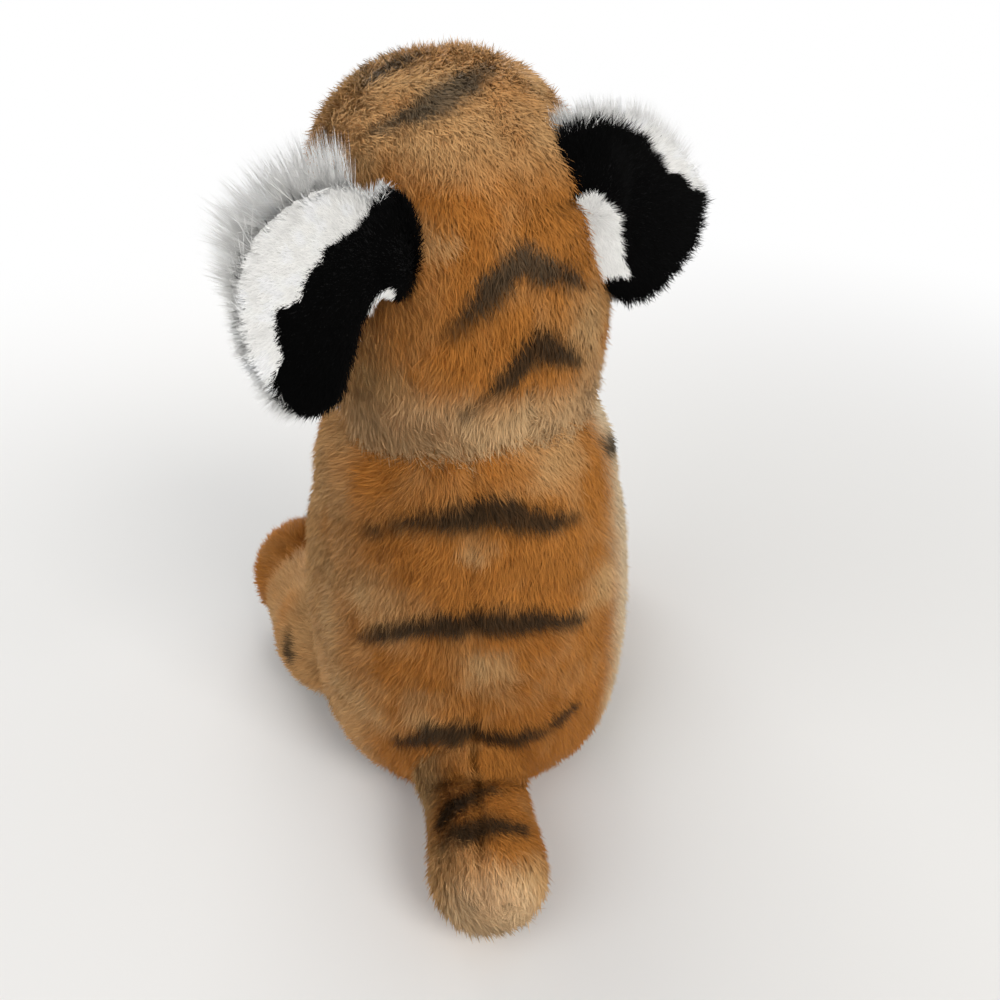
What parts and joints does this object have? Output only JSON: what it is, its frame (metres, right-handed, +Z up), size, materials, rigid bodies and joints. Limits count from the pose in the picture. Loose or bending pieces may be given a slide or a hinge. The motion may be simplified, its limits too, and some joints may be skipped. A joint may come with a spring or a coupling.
{
  "type": "plush tiger",
  "caption": "Stuffed plush tiger that sits upright, with a turning head, fold-back ears, swinging legs and a thick tail.",
  "frame": {"origin": "middle of the flat seat, on the floor", "axes": "+Z up, the tiger faces -Y, its own left side is +X"},
  "size_m": [0.1707, 0.2085, 0.2465],
  "materials": {
    "tan_plush": "short tan plush pile with printed stripes",
    "cream_plush": "short cream plush pile",
    "white_plush": "white plush pile, longer in the ears",
    "black_plush": "short black plush pile",
    "fibre": "loose polyester fibre",
    "pouch": "woven bag filled with plastic pellets",
    "thread": "strong sewing thread",
    "eye": "polished dark brown plastic",
    "nose": "satin pink-brown plastic",
    "washer": "moulded white plastic"
  },
  "bodies": {
    "body": {"body_cover_left": "tan_plush", "body_cover_right": "tan_plush", "belly_panel": "cream_plush", "seat_panel": "tan_plush", "body_fill": "fibre", "pellet_pouch": "pouch"},
    "neck": {"neck_thread": "thread"},
    "head": {"head_cover_left": "tan_plush", "head_cover_right": "tan_plush", "head_fill": "fibre", "left_eye": "eye", "left_eye_washer": "washer", "right_eye": "eye", "right_eye_washer": "washer", "muzzle_cover": "white_plush", "muzzle_fill": "fibre", "nose": "nose", "nose_washer": "washer"},
    "left_ear": {"left_ear_back": "black_plush", "left_ear_lining": "white_plush"},
    "right_ear": {"right_ear_back": "black_plush", "right_ear_lining": "white_plush"},
    "left_front_leg": {"left_front_leg_cover": "tan_plush", "left_front_leg_fill": "fibre"},
    "right_front_leg": {"right_front_leg_cover": "tan_plush", "right_front_leg_fill": "fibre"},
    "left_hind_leg": {"left_hind_leg_cover": "tan_plush", "left_hind_leg_fill": "fibre", "left_hind_sole": "cream_plush"},
    "right_hind_leg": {"right_hind_leg_cover": "tan_plush", "right_hind_leg_fill": "fibre", "right_hind_sole": "cream_plush"},
    "tail": {"tail_cover": "tan_plush", "tail_fill": "fibre"}
  },
  "joints": [
    {"name": "neck_turn", "type": "hinge", "parent": "body", "child": "neck", "pos_m": [0, 0.009, 0.1185], "axis": [0, 0, 1], "range_deg": [-80, 30]},
    {"name": "head_nod", "type": "hinge", "parent": "neck", "child": "head", "pos_m": [0, 0.009, 0.1185], "axis": [0.8988, 0.4384, 0], "range_deg": [-10, 12]},
    {"name": "left_ear_fold", "type": "hinge", "parent": "head", "child": "left_ear", "pos_m": [0.02091, 0.04776, 0.1935], "axis": [0, 0, 1], "range_deg": [-9, 35]},
    {"name": "right_ear_fold", "type": "hinge", "parent": "head", "child": "right_ear", "pos_m": [-0.04189, 0.01721, 0.2005], "axis": [0, 0, -1], "range_deg": [-9, 35]},
    {"name": "left_front_leg_swing", "type": "hinge", "parent": "body", "child": "left_front_leg", "pos_m": [0.034, -0.0322, 0.112], "axis": [-1, 0, 0], "range_deg": [0, 65]},
    {"name": "right_front_leg_swing", "type": "hinge", "parent": "body", "child": "right_front_leg", "pos_m": [-0.034, -0.0322, 0.112], "axis": [-1, 0, 0], "range_deg": [0, 65]},
    {"name": "left_hind_leg_splay", "type": "hinge", "parent": "body", "child": "left_hind_leg", "pos_m": [0.05131, -0.01997, 0.028], "axis": [0, 0, 1], "range_deg": [-5, 20]},
    {"name": "right_hind_leg_splay", "type": "hinge", "parent": "body", "child": "right_hind_leg", "pos_m": [-0.03736, -0.04044, 0.028], "axis": [0, 0, -1], "range_deg": [-8, 20]},
    {"name": "tail_wag", "type": "hinge", "parent": "body", "child": "tail", "pos_m": [0.0015, 0.05, 0.0215], "axis": [0, 0, 1], "range_deg": [-30, 18]}
  ]
}
